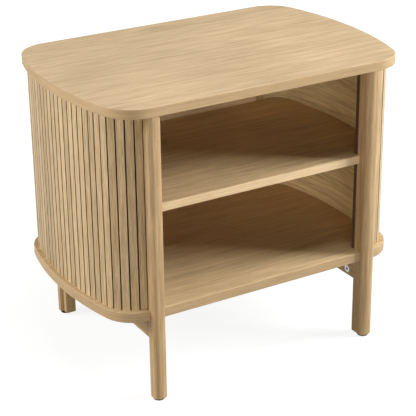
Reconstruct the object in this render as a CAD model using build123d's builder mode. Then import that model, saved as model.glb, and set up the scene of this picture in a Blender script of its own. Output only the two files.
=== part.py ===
from build123d import *
import os
from math import acos, asin, atan2, degrees, sqrt

# An open-shelf nightstand: two compartments between curved walls of upright slats, on four legs.
# Millimetres. X runs across the front, Y from front to back, Z up. The floor is at Z = 0.
# The top panel's centre is on the Z axis, and the open front faces -Y.

os.makedirs("parts", exist_ok=True)

# Driving dimensions
# Top panel
top_width = 600.0
top_depth = 402.0
top_thickness = 17.0
top_height = 525.0
top_corner_radius = 62.0
top_side_radius = 580.0
panel_edge_round = 1.5

# Base panel: as wide as the top, set back from the front legs and flush with the rear legs
base_front_inset = 13.5
base_rear_inset = 7.5
base_corner_radius = 62.0
base_side_radius = 600.0
base_thickness = 18.0
base_top_z = 168.5

# Curved walls, measured on the outer face of the slats
wall_side_inset = 8.0
wall_corner_radius = 53.0
wall_side_radius = 592.0
slat_thickness = 6.0
slat_pitch = 15.0
slat_groove = 1.9
slat_edge_round = 0.8
liner_thickness = 9.0
liner_groove_depth = 6.0

# Legs: 25 x 30 section with two round corners outside and a rabbet towards the wall
leg_from_side = 100.0
leg_width = 25.0
leg_depth = 30.0
leg_front_inset = 1.0
leg_round = 10.0
leg_small_round = 2.0
leg_rabbet_width = 6.0
leg_foot_chamfer = 2.0

# Middle shelf and back panel
shelf_top_z = 350.0
shelf_thickness = 15.0
shelf_edge_round = 1.0
back_panel_proud = 2.5
back_thickness = 12.0

# Side rails under the base
rail_height = 41.0
rail_edge_round = 1.5

# Foot glides
glide_radius = 10.0
glide_height = 3.0
glide_setback = 13.0
glide_edge_round = 1.0
nail_radius = 1.25
nail_head_radius = 4.0
nail_head_thickness = 1.0
nail_length = 16.0
nail_recess = 1.2

# Wooden dowels
dowel_radius = 4.0
dowel_length = 30.0
small_dowel_radius = 3.0
small_dowel_length = 24.0
dowel_chamfer = 0.8
top_dowel_in_top = 12.0
base_dowel_rise = 7.0
rail_dowel_drop = 11.0
shelf_dowel_in_liner = 8.0
shelf_dowel_in_back = 10.0
shelf_side_dowel_y = 95.0
shelf_back_dowel_x = 120.0
back_dowel_margin = 45.0

# Cam locks that pull the rails to the legs, and the bolts they grip
cam_radius = 7.0
cam_depth = 13.5
cam_setback = 20.0
cam_rise = 11.5
cam_edge_round = 0.6
cam_socket_radius = 2.9
cam_socket_depth = 4.0
bolt_radius = 2.5
bolt_neck_radius = 1.75
bolt_neck_length = 4.5
bolt_head_radius = 2.8
bolt_head_length = 3.0
bolt_head_round = 0.8
bolt_in_leg = 12.0

# Screws that hold the base to the rails
screw_radius = 2.0
screw_head_radius = 4.0
screw_head_height = 2.6
screw_head_round = 0.8
screw_into_base = 12.0
screw_recess = 9.0
screw_from_end = 80.0
screw_socket_radius = 1.8
screw_socket_depth = 1.4

# Clearances
fit_clearance = 0.3
hole_clearance = 0.1
end_clearance = 0.5
glue_line = 0.1
slat_front_gap = 2.5

# Sizes that follow from the ones above
top_underside_z = top_height - top_thickness
base_width = top_width
base_front_y = base_front_inset - top_depth / 2
base_rear_y = top_depth / 2 - base_rear_inset
wall_width = top_width - 2 * wall_side_inset
leg_inner_x = top_width / 2 - leg_from_side
leg_front_y = leg_front_inset - top_depth / 2
base_underside_z = base_top_z - base_thickness
shelf_underside_z = shelf_top_z - shelf_thickness
wall_height = top_underside_z - base_top_z
leg_outer_x = leg_inner_x + leg_width
leg_rabbet_x = leg_outer_x - leg_rabbet_width
leg_rear_y = base_rear_y
front_leg_back_y = leg_front_y + leg_depth
rear_leg_front_y = leg_rear_y - leg_depth
leg_height = top_underside_z - glide_height
base_middle_y = (base_front_y + base_rear_y) / 2
base_half_depth = (base_rear_y - base_front_y) / 2
# The legs' rabbets, the walls and the base panel share one middle, a little behind the top's
leg_rabbet_depth = 2 * base_middle_y - front_leg_back_y - rear_leg_front_y
back_front_y = rear_leg_front_y - back_panel_proud
# The liner passes just behind the front leg, with the slats outside it in the leg's rabbet
wall_front_y = front_leg_back_y + fit_clearance - slat_thickness - glue_line
wall_half_depth = base_middle_y - wall_front_y
liner_outer_inset = slat_thickness + glue_line
liner_inner_inset = liner_outer_inset + liner_thickness
rail_thickness = leg_rabbet_x - leg_inner_x
rail_middle_x = leg_inner_x + rail_thickness / 2
rail_bottom_z = base_underside_z - rail_height
cam_z = rail_bottom_z + cam_rise
rail_dowel_z = base_underside_z - rail_dowel_drop
base_dowel_z = base_underside_z + base_dowel_rise
shelf_dowel_z = shelf_top_z - shelf_thickness / 2
glide_x = leg_inner_x + leg_width / 2
glide_front_y = leg_front_y + glide_setback
glide_rear_y = leg_rear_y - glide_setback
leg_joint_middle_y = (front_leg_back_y + rear_leg_front_y) / 2
small_dowel_hole = small_dowel_length + 2 * end_clearance
big_reach = 2 * max(top_width, top_depth, top_height)


# Plan outlines
def corner_centre(half_width, half_depth, corner_radius, side_radius):
    """Centre of a corner's arc that is tangent to the straight front and to the bowed side."""
    corner_y = half_depth - corner_radius
    reach = side_radius - corner_radius
    corner_x = half_width - side_radius + sqrt(reach**2 - corner_y**2)
    return corner_x, corner_y, degrees(asin(corner_y / reach))


def bowed_outline(half_width, half_depth, corner_radius, side_radius, middle_y=0.0):
    """Closed plan outline: straight front and back, round corners, sides bowed slightly outwards."""
    corner_x, corner_y, side_angle = corner_centre(half_width, half_depth, corner_radius, side_radius)
    with BuildLine() as outline:
        Line((0, middle_y - half_depth), (corner_x, middle_y - half_depth))
        CenterArc((corner_x, middle_y - corner_y), corner_radius, -90, 90 - side_angle)
        CenterArc((half_width - side_radius, middle_y), side_radius, -side_angle, 2 * side_angle)
        CenterArc((corner_x, middle_y + corner_y), corner_radius, side_angle, 90 - side_angle)
        Line((corner_x, middle_y + half_depth), (0, middle_y + half_depth))
        mirror(about=Plane.YZ)
    return outline.edges()


def wall_outline(inset):
    """Outline of both curved walls together, a given distance inside the slats' outer face."""
    return bowed_outline(
        wall_width / 2 - inset,
        wall_half_depth - inset,
        wall_corner_radius - inset,
        wall_side_radius - inset,
        base_middle_y,
    )


def right_liner_plan(grow):
    """Plan of the right liner. Its groove in a panel is the same plan, grown by a clearance."""
    with BuildSketch() as plan:
        make_face(wall_outline(liner_outer_inset - grow))
        make_face(wall_outline(liner_inner_inset + grow), mode=Mode.SUBTRACT)
        with Locations((leg_inner_x + end_clearance - grow, base_middle_y)):
            Rectangle(big_reach, big_reach, align=(Align.MAX, Align.MAX), mode=Mode.SUBTRACT)
        with Locations((leg_rabbet_x + fit_clearance - grow, base_middle_y)):
            Rectangle(big_reach, big_reach, align=(Align.MAX, Align.MIN), mode=Mode.SUBTRACT)
    return plan.sketch


def leg_notches(clearance):
    """Plan of the four places where the legs pass through a panel."""
    with BuildSketch() as plan:
        for side in (-1, 1):
            with Locations((side * (leg_inner_x + leg_width / 2), front_leg_back_y)):
                Rectangle(leg_width + 2 * clearance, 2 * leg_depth, align=(Align.CENTER, Align.MAX))
            with Locations((side * (leg_inner_x + leg_width / 2), rear_leg_front_y)):
                Rectangle(leg_width + 2 * clearance, 2 * leg_depth, align=(Align.CENTER, Align.MIN))
    return plan.sketch


def leg_plan(side, end):
    """Section of one leg. side is -1 for left and 1 for right, end is -1 for front and 1 for rear."""
    outer_y = leg_front_y if end < 0 else leg_rear_y
    inner_y = outer_y - end * leg_depth
    rabbet_y = inner_y + end * leg_rabbet_depth
    with BuildSketch() as plan:
        with BuildLine():
            Polyline(
                (side * leg_inner_x, outer_y),
                (side * leg_outer_x, outer_y),
                (side * leg_outer_x, rabbet_y),
                (side * leg_rabbet_x, rabbet_y),
                (side * leg_rabbet_x, inner_y),
                (side * leg_inner_x, inner_y),
                close=True,
            )
        make_face()
        rows = plan.vertices().group_by(Axis.Y)
        outer_row, inner_row = (rows[0], rows[-1]) if end < 0 else (rows[-1], rows[0])
        fillet(outer_row, radius=leg_round)
        fillet(inner_row, radius=leg_small_round)
    return plan.sketch


def liner_inner_x(y):
    """How far out the liner's inner face is at a given Y, along the bowed side."""
    inner_radius = wall_side_radius - liner_inner_inset
    return wall_width / 2 - wall_side_radius + sqrt(inner_radius**2 - (y - base_middle_y) ** 2)


def pointing(x, y, z, axis, sign):
    """A place whose own Z points along X or Y, forwards or backwards."""
    turns = {"X": (0, 90 * sign, 0), "Y": (-90 * sign, 0, 0)}
    return Location((x, y, z), turns[axis])


def at_corners(x, front_y, rear_y):
    """The four corner places of something at X = +-x, front_y from the front and rear_y behind."""
    return [(-x, front_y), (x, front_y), (-x, rear_y), (x, rear_y)]


def save(piece, name):
    piece.part.label = name
    export_step(piece.part, f"parts/{name}.step")


def make_dowel(radius, length):
    """A wooden dowel along its own Z, centred, with chamfered ends."""
    with BuildPart() as pin:
        Cylinder(radius, length)
        chamfer(pin.edges().filter_by(GeomType.CIRCLE), length=dowel_chamfer)
    return pin.part


# Places that several pieces share
leg_names = {
    (-1, -1): "front_left_leg",
    (1, -1): "front_right_leg",
    (-1, 1): "rear_left_leg",
    (1, 1): "rear_right_leg",
}
glide_places = at_corners(glide_x, glide_front_y, glide_rear_y)
joint_places = at_corners(rail_middle_x, front_leg_back_y, rear_leg_front_y)
screw_places = at_corners(
    rail_middle_x, front_leg_back_y + screw_from_end, rear_leg_front_y - screw_from_end
)
# Small dowels: middle of each one, its hole being a little longer
back_dowel_places = [
    pointing(side * leg_inner_x, back_front_y + back_thickness / 2, z, "X", side)
    for side in (-1, 1)
    for z in (base_top_z + back_dowel_margin, top_underside_z - back_dowel_margin)
]
shelf_back_places = [
    pointing(x, back_front_y + shelf_dowel_in_back - small_dowel_length / 2, shelf_dowel_z, "Y", 1)
    for x in (-shelf_back_dowel_x, shelf_back_dowel_x)
]
shelf_side_places = [
    pointing(
        side * (liner_inner_x(y) + shelf_dowel_in_liner - small_dowel_length / 2),
        y,
        shelf_dowel_z,
        "X",
        side,
    )
    for side in (-1, 1)
    for y in (base_middle_y - shelf_side_dowel_y, base_middle_y + shelf_side_dowel_y)
]

# The right wall's slats follow its outline from the front leg's rabbet to the rear leg's outer face
wall_corner_x, wall_corner_y, wall_side_angle = corner_centre(
    wall_width / 2, wall_half_depth, wall_corner_radius, wall_side_radius
)
rear_slat_reach = leg_outer_x + fit_clearance - wall_corner_x
rear_slat_angle = degrees(acos(rear_slat_reach / wall_corner_radius))
with BuildLine() as slat_run:
    Line((leg_rabbet_x + slat_front_gap, wall_front_y), (wall_corner_x, wall_front_y))
    CenterArc(
        (wall_corner_x, base_middle_y - wall_corner_y), wall_corner_radius, -90, 90 - wall_side_angle
    )
    CenterArc(
        (wall_width / 2 - wall_side_radius, base_middle_y),
        wall_side_radius,
        -wall_side_angle,
        2 * wall_side_angle,
    )
    CenterArc(
        (wall_corner_x, base_middle_y + wall_corner_y),
        wall_corner_radius,
        wall_side_angle,
        rear_slat_angle - wall_side_angle,
    )
slat_count = round(slat_run.wire().length / slat_pitch)
slat_pitch_used = slat_run.wire().length / slat_count
slat_places = []
for number in range(slat_count):
    share = (number + 0.5) / slat_count
    spot = slat_run.wire() @ share
    heading = slat_run.wire() % share
    slat_places.append(Location((spot.X, spot.Y), degrees(atan2(heading.Y, heading.X))))
print(slat_count, "slats in each wall, pitch", round(slat_pitch_used, 2))


# Top panel: bowed sides, softly rounded edges, blind dowel holes and curved grooves underneath
with BuildPart() as top_panel:
    with BuildSketch(Plane.XY.offset(top_underside_z)):
        make_face(bowed_outline(top_width / 2, top_depth / 2, top_corner_radius, top_side_radius))
    extrude(amount=top_thickness)
    fillet(top_panel.faces().sort_by(Axis.Z)[-1].edges(), radius=panel_edge_round)
    fillet(top_panel.faces().sort_by(Axis.Z)[0].edges(), radius=panel_edge_round)
    with BuildSketch(Plane.XY.offset(top_underside_z)):
        add(right_liner_plan(fit_clearance))
        mirror(about=Plane.YZ)
    extrude(amount=liner_groove_depth, mode=Mode.SUBTRACT)
    with BuildSketch(Plane.XY.offset(top_underside_z)):
        with Locations(*glide_places):
            Circle(dowel_radius + hole_clearance)
    extrude(amount=top_dowel_in_top + end_clearance, mode=Mode.SUBTRACT)
save(top_panel, "top_panel")

# Base panel: the same kind of outline, notched round the four legs, grooved for the liners
with BuildPart() as base_panel:
    with BuildSketch(Plane.XY.offset(base_underside_z)):
        make_face(
            bowed_outline(
                base_width / 2,
                base_half_depth,
                base_corner_radius,
                base_side_radius,
                base_middle_y,
            )
        )
    extrude(amount=base_thickness)
    fillet(base_panel.faces().sort_by(Axis.Z)[-1].edges(), radius=panel_edge_round)
    fillet(base_panel.faces().sort_by(Axis.Z)[0].edges(), radius=panel_edge_round)
    with BuildSketch(Plane.XY.offset(base_underside_z)):
        add(leg_notches(fit_clearance))
    extrude(amount=base_thickness, mode=Mode.SUBTRACT)
    with BuildSketch(Plane.XY.offset(base_top_z)):
        add(right_liner_plan(fit_clearance))
        mirror(about=Plane.YZ)
    extrude(amount=-liner_groove_depth, mode=Mode.SUBTRACT)
    with Locations(*[pointing(x, y, base_dowel_z, "Y", 1) for x, y in joint_places]):
        Cylinder(dowel_radius + hole_clearance, dowel_length + 2 * end_clearance, mode=Mode.SUBTRACT)
    with BuildSketch(Plane.XY.offset(base_underside_z)):
        with Locations(*screw_places):
            Circle(screw_radius + hole_clearance)
    extrude(amount=screw_into_base + end_clearance, mode=Mode.SUBTRACT)
save(base_panel, "base_panel")

# Middle shelf: it fills the inside of the walls, and its front passes between the front legs
with BuildPart() as middle_shelf:
    with BuildSketch(Plane.XY.offset(shelf_underside_z)):
        make_face(wall_outline(liner_inner_inset + fit_clearance))
        with Locations((0, wall_front_y)):
            Rectangle(2 * (leg_inner_x - fit_clearance), wall_half_depth, align=(Align.CENTER, Align.MIN))
        add(leg_notches(fit_clearance), mode=Mode.SUBTRACT)
        with Locations((0, back_front_y)):
            Rectangle(
                2 * (leg_inner_x + fit_clearance),
                big_reach,
                align=(Align.CENTER, Align.MIN),
                mode=Mode.SUBTRACT,
            )
    extrude(amount=shelf_thickness)
    with Locations(*shelf_side_places, *shelf_back_places):
        Cylinder(small_dowel_radius + hole_clearance, small_dowel_hole, mode=Mode.SUBTRACT)
    front_edges = middle_shelf.faces().sort_by(Axis.Y)[0].edges().filter_by(Axis.X)
    fillet(front_edges, radius=shelf_edge_round)
save(middle_shelf, "middle_shelf")

# Back panel between the rear legs, from the base to the top
with BuildPart() as back_panel:
    with BuildSketch(Plane.XY.offset(base_top_z)):
        with Locations((0, back_front_y)):
            Rectangle(2 * leg_inner_x, back_thickness, align=(Align.CENTER, Align.MIN))
    extrude(amount=wall_height)
    with Locations(*back_dowel_places):
        Cylinder(small_dowel_radius + hole_clearance, small_dowel_hole, mode=Mode.SUBTRACT)
    with Locations(*shelf_back_places):
        Cylinder(small_dowel_radius + hole_clearance, small_dowel_hole, mode=Mode.SUBTRACT)
save(back_panel, "back_panel")

# Curved inner liners, smooth inside, with their edges let into the top and the base
for side, name in ((-1, "left_liner"), (1, "right_liner")):
    with BuildPart() as liner:
        with BuildSketch(Plane.XY.offset(base_top_z - liner_groove_depth + end_clearance)):
            add(right_liner_plan(0))
            if side < 0:
                mirror(about=Plane.YZ, mode=Mode.REPLACE)
        extrude(amount=wall_height + 2 * (liner_groove_depth - end_clearance))
        with Locations(*shelf_side_places):
            Cylinder(small_dowel_radius + hole_clearance, small_dowel_hole, mode=Mode.SUBTRACT)
    save(liner, name)

# Slats: upright battens round the outside of each liner, evenly spaced along the wall's outline
# The first one stops at the front leg's rabbet
with BuildSketch() as slat_plan:
    Rectangle(slat_pitch_used - slat_groove, slat_thickness, align=(Align.CENTER, Align.MIN))
    fillet(slat_plan.vertices().group_by(Axis.Y)[0], radius=slat_edge_round)
for side, name in ((-1, "left_slats"), (1, "right_slats")):
    with BuildPart() as slats:
        with BuildSketch(Plane.XY.offset(base_top_z)):
            with Locations(*slat_places):
                add(slat_plan.sketch)
            with Locations((leg_rabbet_x + fit_clearance, base_middle_y)):
                Rectangle(big_reach, big_reach, align=(Align.MAX, Align.MAX), mode=Mode.SUBTRACT)
            if side < 0:
                mirror(about=Plane.YZ, mode=Mode.REPLACE)
        extrude(amount=wall_height)
    save(slats, name)

# Legs: round outside corners, a rabbet that takes the end of the wall, and the joint holes
for (side, end), name in leg_names.items():
    outer_y = glide_front_y if end < 0 else glide_rear_y
    joint_y = front_leg_back_y if end < 0 else rear_leg_front_y
    with BuildPart() as leg:
        with BuildSketch(Plane.XY.offset(glide_height)):
            add(leg_plan(side, end))
        extrude(amount=leg_height)
        chamfer(leg.faces().sort_by(Axis.Z)[0].edges(), length=leg_foot_chamfer)
        with BuildSketch(Plane.XY.offset(top_underside_z)):
            with Locations((side * glide_x, outer_y)):
                Circle(dowel_radius + hole_clearance)
        extrude(amount=-(dowel_length - top_dowel_in_top + end_clearance), mode=Mode.SUBTRACT)
        with BuildSketch(Plane.XY.offset(glide_height)):
            with Locations((side * glide_x, outer_y)):
                Circle(nail_radius + hole_clearance)
        extrude(amount=nail_length, mode=Mode.SUBTRACT)
        for z in (rail_dowel_z, base_dowel_z):
            with Locations(pointing(side * rail_middle_x, joint_y, z, "Y", 1)):
                Cylinder(dowel_radius + hole_clearance, dowel_length + 2 * end_clearance, mode=Mode.SUBTRACT)
        with Locations(pointing(side * rail_middle_x, joint_y, cam_z, "Y", 1)):
            Cylinder(bolt_radius + hole_clearance, 2 * (bolt_in_leg + end_clearance), mode=Mode.SUBTRACT)
        if end > 0:
            with Locations(*back_dowel_places):
                Cylinder(small_dowel_radius + hole_clearance, small_dowel_hole, mode=Mode.SUBTRACT)
    save(leg, name)

# Side rails under the base, each held by a cam lock, a dowel and a screw at either end
for side, name in ((-1, "left_side_rail"), (1, "right_side_rail")):
    with BuildPart() as rail:
        with BuildSketch(Plane.XY.offset(rail_bottom_z)):
            with Locations((side * rail_middle_x, leg_joint_middle_y)):
                Rectangle(rail_thickness, rear_leg_front_y - front_leg_back_y)
        extrude(amount=rail_height)
        fillet(rail.faces().sort_by(Axis.Z)[0].edges().filter_by(Axis.Y), radius=rail_edge_round)
        for end in (-1, 1):
            joint_y = front_leg_back_y if end < 0 else rear_leg_front_y
            with Locations(pointing(side * leg_inner_x, joint_y - end * cam_setback, cam_z, "X", side)):
                Cylinder(
                    cam_radius + hole_clearance,
                    cam_depth + hole_clearance,
                    align=(Align.CENTER, Align.CENTER, Align.MIN),
                    mode=Mode.SUBTRACT,
                )
            with Locations(pointing(side * rail_middle_x, joint_y, cam_z, "Y", -end)):
                Cylinder(
                    bolt_head_radius + fit_clearance,
                    cam_setback,
                    align=(Align.CENTER, Align.CENTER, Align.MIN),
                    mode=Mode.SUBTRACT,
                )
            with Locations(pointing(side * rail_middle_x, joint_y, rail_dowel_z, "Y", 1)):
                Cylinder(dowel_radius + hole_clearance, dowel_length + 2 * end_clearance, mode=Mode.SUBTRACT)
        with BuildSketch(Plane.XY.offset(rail_bottom_z)):
            with Locations(*screw_places):
                Circle(screw_radius + hole_clearance)
        extrude(amount=rail_height, mode=Mode.SUBTRACT)
        with BuildSketch(Plane.XY.offset(rail_bottom_z)):
            with Locations(*screw_places):
                Circle(screw_head_radius + hole_clearance)
        extrude(amount=screw_recess, mode=Mode.SUBTRACT)
    save(rail, name)

# Cam locks: a round housing with a hexagon socket, bored across for the head of its bolt
with BuildPart() as cam:
    Cylinder(cam_radius, cam_depth, align=(Align.CENTER, Align.CENTER, Align.MIN))
    fillet(cam.faces().sort_by(Axis.Z)[0].edges(), radius=cam_edge_round)
    with BuildSketch():
        RegularPolygon(cam_socket_radius, 6)
    extrude(amount=cam_socket_depth, mode=Mode.SUBTRACT)
    with Locations(pointing(0, 0, rail_thickness / 2, "X", 1)):
        Cylinder(
            bolt_head_radius + fit_clearance,
            cam_radius + bolt_head_length,
            align=(Align.CENTER, Align.CENTER, Align.MIN),
            mode=Mode.SUBTRACT,
        )
        Sphere(bolt_head_radius + fit_clearance, mode=Mode.SUBTRACT)
with BuildPart() as cam_locks:
    for side in (-1, 1):
        for end in (-1, 1):
            joint_y = front_leg_back_y if end < 0 else rear_leg_front_y
            seat = Plane(
                origin=(side * leg_inner_x, joint_y - end * cam_setback, cam_z),
                x_dir=(0, end, 0),
                z_dir=(side, 0, 0),
            )
            add(seat.location * cam.part)
save(cam_locks, "cam_locks")

# Cam bolts: threaded into the legs, with a necked head inside the cam
bolt_reach = cam_setback + bolt_head_length / 2
with BuildPart() as cam_bolt:
    with BuildSketch(Plane.XZ):
        with BuildLine():
            Polyline(
                (0, -bolt_in_leg),
                (bolt_radius, -bolt_in_leg),
                (bolt_radius, bolt_reach - bolt_head_length - bolt_neck_length),
                (bolt_neck_radius, bolt_reach - bolt_head_length - bolt_neck_length),
                (bolt_neck_radius, bolt_reach - bolt_head_length),
                (bolt_head_radius, bolt_reach - bolt_head_length),
                (bolt_head_radius, bolt_reach),
                (0, bolt_reach),
                close=True,
            )
        make_face()
    revolve(axis=Axis.Z)
    fillet(cam_bolt.faces().sort_by(Axis.Z)[-1].edges(), radius=bolt_head_round)
with BuildPart() as cam_bolts:
    for side in (-1, 1):
        for end in (-1, 1):
            joint_y = front_leg_back_y if end < 0 else rear_leg_front_y
            with Locations(pointing(side * rail_middle_x, joint_y, cam_z, "Y", -end)):
                add(cam_bolt.part)
save(cam_bolts, "cam_bolts")

# Wooden dowels with chamfered ends
dowel = make_dowel(dowel_radius, dowel_length)
small_dowel = make_dowel(small_dowel_radius, small_dowel_length)
top_dowel_z = top_underside_z + top_dowel_in_top - dowel_length / 2
dowel_sets = {
    "leg_top_dowels": (dowel, [Location((x, y, top_dowel_z)) for x, y in glide_places]),
    "base_dowels": (dowel, [pointing(x, y, base_dowel_z, "Y", 1) for x, y in joint_places]),
    "rail_dowels": (dowel, [pointing(x, y, rail_dowel_z, "Y", 1) for x, y in joint_places]),
    "back_panel_dowels": (small_dowel, back_dowel_places),
    "shelf_dowels": (small_dowel, shelf_side_places + shelf_back_places),
}
for name, (one_dowel, places) in dowel_sets.items():
    with BuildPart() as dowels:
        with Locations(*places):
            add(one_dowel)
    save(dowels, name)

# Screws up through the rails into the base
with BuildPart() as screw:
    Cylinder(screw_head_radius, screw_head_height, align=(Align.CENTER, Align.CENTER, Align.MAX))
    fillet(screw.faces().sort_by(Axis.Z)[0].edges(), radius=screw_head_round)
    with BuildSketch(Plane.XY.offset(-screw_head_height)):
        RegularPolygon(screw_socket_radius, 6)
    extrude(amount=screw_socket_depth, mode=Mode.SUBTRACT)
    Cylinder(
        screw_radius,
        rail_height - screw_recess + screw_into_base,
        align=(Align.CENTER, Align.CENTER, Align.MIN),
    )
with BuildPart() as base_screws:
    with Locations(*[(x, y, rail_bottom_z + screw_recess) for x, y in screw_places]):
        add(screw.part)
save(base_screws, "base_screws")

# Foot glides: round pads on the floor, each held by a nail whose head is sunk in the pad
for (side, end), name in leg_names.items():
    with BuildPart() as glide:
        with BuildSketch():
            with Locations((side * glide_x, glide_front_y if end < 0 else glide_rear_y)):
                Circle(glide_radius)
        extrude(amount=glide_height)
        fillet(glide.faces().sort_by(Axis.Z)[0].edges(), radius=glide_edge_round)
        with BuildSketch():
            with Locations((side * glide_x, glide_front_y if end < 0 else glide_rear_y)):
                Circle(nail_radius + hole_clearance)
        extrude(amount=glide_height, mode=Mode.SUBTRACT)
        with BuildSketch():
            with Locations((side * glide_x, glide_front_y if end < 0 else glide_rear_y)):
                Circle(nail_head_radius + hole_clearance)
        extrude(amount=nail_recess + nail_head_thickness, mode=Mode.SUBTRACT)
    save(glide, name.replace("leg", "foot_glide"))

with BuildPart() as glide_nails:
    with BuildSketch(Plane.XY.offset(nail_recess)):
        with Locations(*glide_places):
            Circle(nail_head_radius)
    extrude(amount=nail_head_thickness)
    with BuildSketch(Plane.XY.offset(nail_recess + nail_head_thickness)):
        with Locations(*glide_places):
            Circle(nail_radius)
    extrude(amount=nail_length - nail_head_thickness)
save(glide_nails, "glide_nails")
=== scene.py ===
import math

import bpy
from mathutils import Matrix, Vector

# Dressing of an open-shelf nightstand in light oak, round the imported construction.
# Metres. X runs across the front, Y from front to back, Z up, and the floor is at Z = 0.

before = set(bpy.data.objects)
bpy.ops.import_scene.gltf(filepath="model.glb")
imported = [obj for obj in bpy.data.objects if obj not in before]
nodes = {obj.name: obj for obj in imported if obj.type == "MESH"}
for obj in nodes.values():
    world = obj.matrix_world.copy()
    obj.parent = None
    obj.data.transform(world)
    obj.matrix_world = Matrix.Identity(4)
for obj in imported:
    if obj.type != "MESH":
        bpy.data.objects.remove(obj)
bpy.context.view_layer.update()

# Colours of the real finish under plain light, as linear RGB, save where painted light or shade is
# marked
WHITE = (1.0, 1.0, 1.0)
OAK_PALE = (0.800, 0.610, 0.375)
OAK_TOP = (0.640, 0.480, 0.300)
OAK_EDGE = (0.540, 0.385, 0.215)
OAK_SLAT = (0.570, 0.420, 0.245)
OAK_SHELF = (0.620, 0.460, 0.265)
OAK_LEG = (0.540, 0.380, 0.210)
# Oak of the inside, made lighter as painted light for the dim inside of the shelves
OAK_INNER_PAINTED_LIGHTER = (0.780, 0.575, 0.350)
# Painted shade: near black on the liners' outer faces, seen through the slats' grooves, and on
# their front ends in the gaps by the legs
PAINTED_GAP_SHADE = (0.035, 0.022, 0.014)
BEECH = (0.620, 0.440, 0.260)
ZINC = (0.560, 0.560, 0.540)
GLIDE_BLACK = (0.012, 0.012, 0.013)

# Patterns of the finishes, each noise by its scale, detail, roughness and distortion
STREAKS = (15.0, 3.0, 0.68, 0.1)
BANDS = (4.0, 2.0, 0.5, 0.3)
PORES = (55.0, 2.0, 0.6)
CLOUDS = (2.2, 2.0)
DRIFT = (1.0, 1.0)
FINE_STREAKS = (34.0, 3.0, 0.7)
ZINC_PATCHES = (260.0, 3.0, 0.6)
ZINC_SCRATCHES = (1.0, 2.0)
PLASTIC_GRAIN = (1400.0, 2.0, 0.6)

# Stretches of those patterns along X, Y and Z
UNSTRETCHED = (1.0, 1.0, 1.0)
GRAIN_ALONG = {
    "X": (1.0, 22.0, 22.0),
    "Y": (22.0, 1.0, 22.0),
    "Z": (22.0, 22.0, 1.0),
    "XY": (1.0, 1.0, 22.0),
}
FINE_GRAIN = (14.0, 14.0, 1.0)
CLOUD_STRETCH = (3.0, 3.0, 3.0)
SCRATCH_STRETCH = (60.0, 900.0, 900.0)
FLATTENED = (1.0, 1.0, 0.0)

# How far a seed moves the patterns along X, Y and Z, and how far the edge banding's seed is off
SEED_SHIFT = (1.7, 0.9, 2.3)
EDGE_SEED_STEP = 5.0

# The usual middle and reach of a noise, how much each pattern counts in the tone of the wood,
# how far that tone reaches from dark to light, and how far the dark one leans to red
NOISE_MIDDLE = 0.5
NOISE_REACH = (0.3, 0.7)
STREAK_WEIGHT = 1.1
BAND_WEIGHT = 0.5
CLOUD_WEIGHT = 0.3
DRIFT_WEIGHT = 0.2
SLAT_STREAK_WEIGHT = 1.2
SLAT_FINE_WEIGHT = 0.9
SLAT_LOT_WEIGHT = 0.28
TONE_REACH = 0.35
SLAT_TONE_REACH = 0.4
DARK_PULL = (1.0, 1.12, 1.35)
EDGE_CONTRAST = 0.2

# Pores: where their noise starts and ends, their depth, and their share and shade in the colour
PORE_RANGE = (0.60, 0.72)
PORE_DEPTH = 0.5
PORE_TINT = (0.16, 0.55)
SLAT_PORE_TINT = (0.2, 0.5)

# Gloss of each finish as least and greatest roughness, its bump as strength and height in metres
OAK_ROUGHNESS = (0.54, 0.66)
OAK_BUMP = (0.12, 0.0004)
OAK_SHEEN = 0.25
SLAT_ROUGHNESS = (0.48, 0.6)
SLAT_BUMP = (0.15, 0.0004)
SLAT_SHEEN = 0.3
ZINC_ROUGHNESS = (0.26, 0.42)
ZINC_BUMP = (0.08, 0.0002)
ZINC_SHADES = (0.8, 1.15)
PLASTIC_ROUGHNESS = (0.42, 0.6)
PLASTIC_BUMP = (0.2, 0.0002)
PLASTIC_SHADES = (0.8, 1.6)

# Faces told apart by their normals: edge banding, and the liners' outer faces and their end faces,
# which get painted shade.
# The liners' front ends lie nearer the middle than LINER_END_X.
EDGE_UPWARD = (0.75, 0.65)
OUTER_FACING = (0.0, 0.02)
END_FACING = 0.9
# How much lighter the painted shade is on the liners' front end faces
END_SHADE = 3.0
LINER_END_X = 0.2020

# Arcs of the walls in plan, which give each slat its number and its place across
WALL_MIDDLE_Y = 0.0030
WALL_SIDE_X = -0.3000
WALL_SIDE_RADIUS = 0.5920
WALL_SIDE_ANGLE = 0.23556
WALL_CORNER_X = 0.22412
WALL_CORNER_Y = 0.1258
WALL_CORNER_RADIUS = 0.0530
WALL_START = -0.21285
SLAT_PITCH = 0.01507
SLAT_MIDDLE = 0.5
# Sets the numbers of the left and the right wall apart, so that no two slats share one
WALL_NUMBER_STEP = 40.0
# Painted shade down in the grooves between the slats, and where it starts and is full, as parts of
# the pitch from SLAT_MIDDLE
GROOVE_PAINTED_SHADE_RANGE = (0.410, 0.436)
GROOVE_PAINTED_SHADE = 0.10

# Sockets of a mix node that blends colours
MIX_SHARE, MIX_FIRST, MIX_SECOND, MIX_RESULT = 0, 6, 7, 2


def shaded(colour, factor):
    return tuple(min(1.0, x * factor) for x in colour)


def opaque(colour):
    return (*colour, 1.0)


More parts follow.
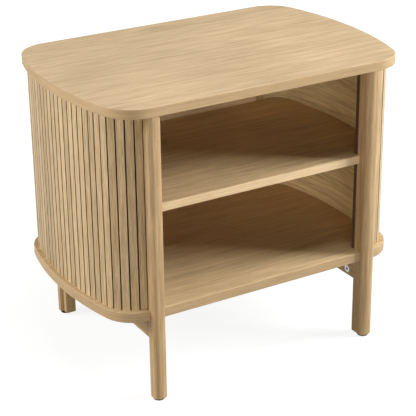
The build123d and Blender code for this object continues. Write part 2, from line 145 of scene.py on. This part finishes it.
class Nodes:
    """A short way to write the nodes of a material or of the world."""

    def __init__(self, owner, output="ShaderNodeOutputMaterial"):
        self.owner = owner
        owner.use_nodes = True
        self.tree = owner.node_tree
        self.tree.nodes.clear()
        self.output = self.tree.nodes.new(output)

    def add(self, kind, inputs=None, **settings):
        node = self.tree.nodes.new(kind)
        for key, value in settings.items():
            setattr(node, key, value)
        for key, value in (inputs or {}).items():
            self.feed(node, key, value)
        return node

    def feed(self, node, key, value):
        if isinstance(value, bpy.types.NodeSocket):
            self.tree.links.new(value, node.inputs[key])
        else:
            node.inputs[key].default_value = value

    def stretched(self, vector, stretch, offset=(0.0, 0.0, 0.0)):
        inputs = {"Vector": vector, "Location": offset, "Scale": stretch}
        return self.add("ShaderNodeMapping", inputs).outputs["Vector"]

    def place(self, stretch=UNSTRETCHED, offset=(0.0, 0.0, 0.0)):
        """Object coordinates, scaled along each axis."""
        source = self.add("ShaderNodeTexCoord").outputs["Object"]
        return self.stretched(source, stretch, offset)

    def noise(self, vector, scale, detail=2.0, roughness=0.5, distortion=0.0):
        inputs = {
            "Vector": vector,
            "Scale": scale,
            "Detail": detail,
            "Roughness": roughness,
            "Distortion": distortion,
        }
        return self.add("ShaderNodeTexNoise", inputs).outputs["Fac"]

    def math(self, operation, a, b=0.0):
        return self.add("ShaderNodeMath", {0: a, 1: b}, operation=operation).outputs[0]

    def part(self, vector, axis):
        return self.add("ShaderNodeSeparateXYZ", {"Vector": vector}).outputs[axis]

    def spread(self, value, low, high, to_low=0.0, to_high=1.0):
        """The value, with low to high spread over to_low to to_high and held there."""
        inputs = {
            "Value": value,
            "From Min": low,
            "From Max": high,
            "To Min": to_low,
            "To Max": to_high,
        }
        return self.add("ShaderNodeMapRange", inputs).outputs["Result"]

    def weighed(self, *patterns):
        """Sum of patterns, each taken from its middle and multiplied by its weight."""
        total = None
        for pattern, weight in patterns:
            from_middle = self.math("SUBTRACT", pattern, NOISE_MIDDLE)
            share = self.math("MULTIPLY", from_middle, weight)
            total = share if total is None else self.math("ADD", total, share)
        return total

    def blend(self, share, first, second):
        node = self.add("ShaderNodeMix", data_type="RGBA")
        self.feed(node, MIX_SHARE, share)
        for socket, value in ((MIX_FIRST, first), (MIX_SECOND, second)):
            self.feed(node, socket, opaque(value) if isinstance(value, tuple) else value)
        return node.outputs[MIX_RESULT]

    def bump(self, height, strength, distance):
        inputs = {"Height": height, "Strength": strength, "Distance": distance}
        return self.add("ShaderNodeBump", inputs).outputs["Normal"]

    def surface(self, **inputs):
        shader = self.add("ShaderNodeBsdfPrincipled")
        for key, value in inputs.items():
            self.feed(shader, key.replace("_", " "), value)
        self.feed(self.output, "Surface", shader.outputs[0])
        return self.owner


def material_nodes(name):
    return Nodes(bpy.data.materials.new(name))


def oak_pattern(wood, along, seed, figure):
    """Tone, pores and fibre streaks of oak with its grain along one direction."""
    offset = tuple(seed * step for step in SEED_SHIFT)
    place = wood.place(GRAIN_ALONG[along], offset)
    wander = wood.place(CLOUD_STRETCH, offset)
    streaks = wood.noise(place, *STREAKS)
    tone = wood.weighed(
        (streaks, STREAK_WEIGHT),
        (wood.noise(place, *BANDS), BAND_WEIGHT * figure),
        (wood.noise(wander, *CLOUDS), CLOUD_WEIGHT),
        (wood.noise(wander, *DRIFT), DRIFT_WEIGHT),
    )
    return tone, wood.spread(wood.noise(place, *PORES), *PORE_RANGE), streaks


def tinted(wood, colour, contrast, tone, reach, pores, pore_tint):
    """Colour of the wood by its tone, from dark to light, with darker pores."""
    dark = tuple(c * (1.0 - contrast * pull) for c, pull in zip(colour, DARK_PULL))
    face = wood.blend(wood.spread(tone, -reach, reach), dark, shaded(colour, 1.0 + contrast))
    pore_share, pore_shade = pore_tint
    return wood.blend(wood.math("MULTIPLY", pores, pore_share), face, shaded(colour, pore_shade))


def relief(wood, streaks, pores):
    return wood.math("SUBTRACT", streaks, wood.math("MULTIPLY", pores, PORE_DEPTH))


def painted_liner_shade(wood, face, gap_darkness):
    """The face, with painted shade on its outer side and front end, as on the liners."""
    normal = wood.add("ShaderNodeNewGeometry").outputs["Normal"]
    outwards = wood.add(
        "ShaderNodeVectorMath", {0: normal, 1: wood.place(FLATTENED)}, operation="DOT_PRODUCT"
    ).outputs["Value"]
    face = wood.blend(wood.spread(outwards, *OUTER_FACING), face, gap_darkness)
    across = wood.math("ABSOLUTE", wood.part(wood.place(), "X"))
    at_end = wood.math("LESS_THAN", across, LINER_END_X)
    sideways = wood.math("ABSOLUTE", wood.part(normal, "X"))
    end_face = wood.math("GREATER_THAN", sideways, END_FACING)
    # Painted shade, a little lighter, on the liners' front end faces by the legs
    return wood.blend(wood.math("MULTIPLY", at_end, end_face), face, shaded(gap_darkness, END_SHADE))


def oak(name, colour, along, seed, contrast=0.28, figure=1.0, edge_colour=None, gap_darkness=None):
    """Matt lacquered oak. With edge_colour, faces that stand upright are edge banding."""
    wood = material_nodes(name)
    tone, pores, streaks = oak_pattern(wood, along, seed, figure)
    face = tinted(wood, colour, contrast, tone, TONE_REACH, pores, PORE_TINT)
    if edge_colour is not None:
        edge_tone, edge_pores, _ = oak_pattern(wood, "XY", seed + EDGE_SEED_STEP, figure)
        edge = tinted(
            wood, edge_colour, EDGE_CONTRAST, edge_tone, TONE_REACH, edge_pores, PORE_TINT
        )
        normal = wood.add("ShaderNodeNewGeometry").outputs["Normal"]
        upward = wood.math("ABSOLUTE", wood.part(normal, "Z"))
        face = wood.blend(wood.spread(upward, *EDGE_UPWARD), face, edge)
    # Painted shade on the liners' outer faces and front ends
    if gap_darkness is not None:
        face = painted_liner_shade(wood, face, gap_darkness)
    return wood.surface(
        Base_Color=face,
        Roughness=wood.spread(streaks, *NOISE_REACH, *OAK_ROUGHNESS),
        Normal=wood.bump(relief(wood, streaks, pores), *OAK_BUMP),
        Specular_IOR_Level=OAK_SHEEN,
    )


def slat_place(wood, source):
    """Number of the slat, and the place across it from 0 to 1, along the arcs of the walls."""
    x = wood.math("ABSOLUTE", wood.part(source, "X"))
    y = wood.math("SUBTRACT", wood.part(source, "Y"), WALL_MIDDLE_Y)
    out = wood.math("ABSOLUTE", y)
    side_turn = wood.math("ARCTAN2", out, wood.math("SUBTRACT", x, WALL_SIDE_X))
    corner_x = wood.math("SUBTRACT", x, WALL_CORNER_X)
    corner_y = wood.math("SUBTRACT", out, WALL_CORNER_Y)
    corner_turn = wood.math("ARCTAN2", corner_y, corner_x)
    side_angle = wood.math("MINIMUM", side_turn, WALL_SIDE_ANGLE)
    on_side = wood.math("MULTIPLY", side_angle, WALL_SIDE_RADIUS)
    corner_angle = wood.math("SUBTRACT", corner_turn, WALL_SIDE_ANGLE)
    on_corner = wood.math("MULTIPLY", corner_angle, WALL_CORNER_RADIUS)
    past_side = wood.math("GREATER_THAN", side_turn, WALL_SIDE_ANGLE)
    along = wood.math("ADD", on_side, wood.math("MULTIPLY", past_side, on_corner))
    along = wood.math("MULTIPLY", along, wood.math("SIGN", y))
    turns = wood.math("DIVIDE", wood.math("SUBTRACT", along, WALL_START), SLAT_PITCH)
    wall = wood.math("MULTIPLY", wood.math("SIGN", wood.part(source, "X")), WALL_NUMBER_STEP)
    number = wood.math("ADD", wood.math("FLOOR", turns), wall)
    return number, wood.math("FRACT", turns)


def slat_veneer(name, colour, contrast):
    """Upright oak slats: each with its own tone and grain, and with painted shade down into the
    grooves.
    """
    wood = material_nodes(name)
    source = wood.add("ShaderNodeTexCoord").outputs["Object"]
    number, across = slat_place(wood, source)
    lot = wood.add("ShaderNodeTexWhiteNoise", {"W": number}, noise_dimensions="1D")
    moved = wood.add(
        "ShaderNodeVectorMath", {0: source, 1: lot.outputs["Color"]}, operation="ADD"
    ).outputs["Vector"]
    place = wood.stretched(moved, GRAIN_ALONG["Z"])
    streaks = wood.noise(place, *STREAKS)
    fine = wood.noise(wood.stretched(moved, FINE_GRAIN), *FINE_STREAKS)
    pores = wood.spread(wood.noise(place, *PORES), *PORE_RANGE)
    tone = wood.weighed(
        (streaks, SLAT_STREAK_WEIGHT),
        (fine, SLAT_FINE_WEIGHT),
        (lot.outputs["Value"], SLAT_LOT_WEIGHT),
    )
    face = tinted(wood, colour, contrast, tone, SLAT_TONE_REACH, pores, SLAT_PORE_TINT)
    # Painted shade: each slat darkens towards its edges, into the grooves
    from_middle = wood.math("ABSOLUTE", wood.math("SUBTRACT", across, SLAT_MIDDLE))
    groove_painted_shade = wood.spread(from_middle, *GROOVE_PAINTED_SHADE_RANGE)
    return wood.surface(
        Base_Color=wood.blend(groove_painted_shade, face, shaded(colour, GROOVE_PAINTED_SHADE)),
        Roughness=wood.spread(streaks, *NOISE_REACH, *SLAT_ROUGHNESS),
        Normal=wood.bump(relief(wood, streaks, pores), *SLAT_BUMP),
        Specular_IOR_Level=SLAT_SHEEN,
    )


def zinc_plate(name):
    metal = material_nodes(name)
    patches = metal.noise(metal.place(), *ZINC_PATCHES)
    scratches = metal.noise(metal.place(SCRATCH_STRETCH), *ZINC_SCRATCHES)
    dull, bright = ZINC_SHADES
    return metal.surface(
        Base_Color=metal.blend(patches, shaded(ZINC, dull), shaded(ZINC, bright)),
        Metallic=1.0,
        Roughness=metal.spread(scratches, *NOISE_REACH, *ZINC_ROUGHNESS),
        Normal=metal.bump(patches, *ZINC_BUMP),
    )


def glide_plastic(name):
    plastic = material_nodes(name)
    grain = plastic.noise(plastic.place(), *PLASTIC_GRAIN)
    dark, light = PLASTIC_SHADES
    return plastic.surface(
        Base_Color=plastic.blend(grain, shaded(GLIDE_BLACK, dark), shaded(GLIDE_BLACK, light)),
        Roughness=plastic.spread(grain, *NOISE_REACH, *PLASTIC_ROUGHNESS),
        Normal=plastic.bump(grain, *PLASTIC_BUMP),
    )


# Finishes, each with the seed of its grain, and the pieces that wear it
finishes = {
    oak("top_oak_veneer", OAK_TOP, "X", 1.0, edge_colour=OAK_EDGE): ["top_panel"],
    oak("base_oak_veneer", OAK_SHELF, "X", 3.0, contrast=0.34, edge_colour=OAK_EDGE): [
        "base_panel",
    ],
    oak("shelf_oak_veneer", OAK_SHELF, "X", 5.0, contrast=0.36, edge_colour=OAK_PALE): [
        "middle_shelf",
    ],
    oak("back_oak_veneer", OAK_INNER_PAINTED_LIGHTER, "X", 7.0): ["back_panel"],
    # The liners carry painted shade on their outer faces and front ends
    oak("liner_oak_veneer", OAK_INNER_PAINTED_LIGHTER, "XY", 9.0, contrast=0.45, gap_darkness=PAINTED_GAP_SHADE): [
        "left_liner",
        "right_liner",
    ],
    slat_veneer("slat_oak_veneer", OAK_SLAT, 0.42): ["left_slats", "right_slats"],
    oak("leg_oak", OAK_LEG, "Z", 13.0, contrast=0.36, figure=1.3): [
        "front_left_leg",
        "front_right_leg",
        "rear_left_leg",
        "rear_right_leg",
    ],
    oak("rail_oak", OAK_LEG, "Y", 15.0, contrast=0.4): ["left_side_rail", "right_side_rail"],
    oak("dowel_beech", BEECH, "Z", 17.0, contrast=0.08): [
        "leg_top_dowels",
        "base_dowels",
        "rail_dowels",
        "back_panel_dowels",
        "shelf_dowels",
    ],
    zinc_plate("zinc_plate"): ["cam_locks", "cam_bolts", "base_screws", "glide_nails"],
    glide_plastic("glide_plastic"): [
        "front_left_foot_glide",
        "front_right_foot_glide",
        "rear_left_foot_glide",
        "rear_right_foot_glide",
    ],
}
for material, pieces in finishes.items():
    for piece in pieces:
        mesh = nodes[piece].data
        mesh.materials.clear()
        mesh.materials.append(material)


# Camera, solved from the photograph's outlines
VIEW_AZIMUTH = -30.319
VIEW_ELEVATION = 23.71
VIEW_ROLL = -0.656
CAMERA_PLACE = (-1.1582, -1.9753, 1.2373)
CAMERA_LENS = 120.0
CAMERA_SENSOR = 36.0


def away(azimuth, elevation):
    """Unit vector from the object. Azimuth 0 is in front, 90 at the right and -90 at the left."""
    turn = math.radians(azimuth)
    rise = math.radians(elevation)
    flat = math.cos(rise)
    return Vector((math.sin(turn) * flat, -math.cos(turn) * flat, math.sin(rise)))


def make_camera():
    turn = math.radians(VIEW_AZIMUTH)
    roll = math.radians(VIEW_ROLL)
    back = away(VIEW_AZIMUTH, VIEW_ELEVATION)
    right = Vector((math.cos(turn), math.sin(turn), 0.0))
    up = back.cross(right)
    rolled_right = math.cos(roll) * right + math.sin(roll) * up
    rolled_up = math.cos(roll) * up - math.sin(roll) * right
    data = bpy.data.cameras.new("photo_camera")
    data.lens = CAMERA_LENS
    data.sensor_width = CAMERA_SENSOR
    data.sensor_fit = "HORIZONTAL"
    camera = bpy.data.objects.new("photo_camera", data)
    turned = Matrix((rolled_right, rolled_up, back)).transposed().to_4x4()
    camera.matrix_world = Matrix.Translation(CAMERA_PLACE) @ turned
    bpy.context.scene.collection.objects.link(camera)
    bpy.context.scene.camera = camera


# Floor: what it throws back on the object, what the camera sees, and its glow round the object
FLOOR_SIZE = 12.0
FLOOR_BOUNCE = (0.1, 0.1, 0.1)
FLOOR_SEEN = (0.22, 0.22, 0.22)
GLOW_RADII = (0.40, 1.1)
GLOW_STRENGTHS = (0.86, 1.0)


def floor_material():
    """Diffuse to the object, and near white to the camera, with the object's soft shadow kept."""
    floor = material_nodes("studio_floor")
    rays = floor.add("ShaderNodeLightPath").outputs
    bounce = floor.add("ShaderNodeBsdfDiffuse", {"Color": opaque(FLOOR_BOUNCE)})
    seen = floor.add("ShaderNodeBsdfDiffuse", {"Color": opaque(FLOOR_SEEN)})
    place = floor.add("ShaderNodeTexCoord").outputs["Object"]
    reach = floor.add("ShaderNodeVectorMath", {0: place}, operation="LENGTH").outputs["Value"]
    strength = floor.spread(reach, *GLOW_RADII, *GLOW_STRENGTHS)
    glow = floor.add("ShaderNodeEmission", {"Color": opaque(WHITE), "Strength": strength})
    lit = floor.add("ShaderNodeAddShader", {0: seen.outputs[0], 1: glow.outputs[0]})
    looked_at = floor.math("MAXIMUM", rays["Is Camera Ray"], rays["Is Glossy Ray"])
    looked_at = floor.math("MAXIMUM", looked_at, rays["Is Transmission Ray"])
    shader = floor.add(
        "ShaderNodeMixShader", {0: looked_at, 1: bounce.outputs[0], 2: lit.outputs[0]}
    )
    floor.feed(floor.output, "Surface", shader.outputs[0])
    return floor.owner


def make_floor():
    bpy.ops.mesh.primitive_plane_add(size=FLOOR_SIZE, location=(0.0, 0.0, 0.0))
    floor = bpy.context.object
    floor.name = "studio_floor"
    floor.data.materials.append(floor_material())


# World: its strength for the object, and for the camera
AMBIENT = 0.03
BACKGROUND = 1.0


def make_world():
    """White to the camera, and dim to the object."""
    world = Nodes(bpy.data.worlds.new("studio_world"), "ShaderNodeOutputWorld")
    dim = world.add("ShaderNodeBackground", {"Color": opaque(WHITE), "Strength": AMBIENT})
    white = world.add("ShaderNodeBackground", {"Color": opaque(WHITE), "Strength": BACKGROUND})
    rays = world.add("ShaderNodeLightPath").outputs
    seen = world.math("MAXIMUM", rays["Is Camera Ray"], rays["Is Transmission Ray"])
    shader = world.add(
        "ShaderNodeMixShader", {0: seen, 1: dim.outputs[0], 2: white.outputs[0]}
    )
    world.feed(world.output, "Surface", shader.outputs[0])
    bpy.context.scene.world = world.owner


# Lamps: azimuth, elevation, distance, width and height, watts, colour
OBJECT_MIDDLE = Vector((0.0, 0.0, 0.3))
FILL_WARMTH = (1.0, 0.86, 0.68)
LAMPS = {
    "right_key": (61.0, 24.0, 2.6, 1.0, 1.0, 83.0, WHITE),
    "left_softbox": (-115.0, 20.0, 2.6, 1.2, 1.2, 53.0, WHITE),
    "front_fill": (-46.0, 2.0, 3.0, 0.9, 0.8, 17.0, FILL_WARMTH),
    "low_front_fill": (-18.0, 5.0, 3.0, 1.0, 0.9, 18.0, WHITE),
    "overhead_softbox": (0.0, 80.0, 2.6, 1.2, 1.2, 26.0, WHITE),
}


def softbox(name, azimuth, elevation, distance, width, height, power, colour):
    """A rectangular lamp that faces the middle of the object."""
    direction = away(azimuth, elevation)
    data = bpy.data.lights.new(name, "AREA")
    data.shape = "RECTANGLE"
    data.size = width
    data.size_y = height
    data.energy = power
    data.color = colour
    lamp = bpy.data.objects.new(name, data)
    lamp.location = OBJECT_MIDDLE + direction * distance
    lamp.rotation_mode = "QUATERNION"
    lamp.rotation_quaternion = direction.to_track_quat("Z", "Y")
    bpy.context.scene.collection.objects.link(lamp)


make_camera()
make_floor()
make_world()
for lamp_name, settings in LAMPS.items():
    softbox(lamp_name, *settings)

bpy.context.scene.view_settings.view_transform = "Standard"
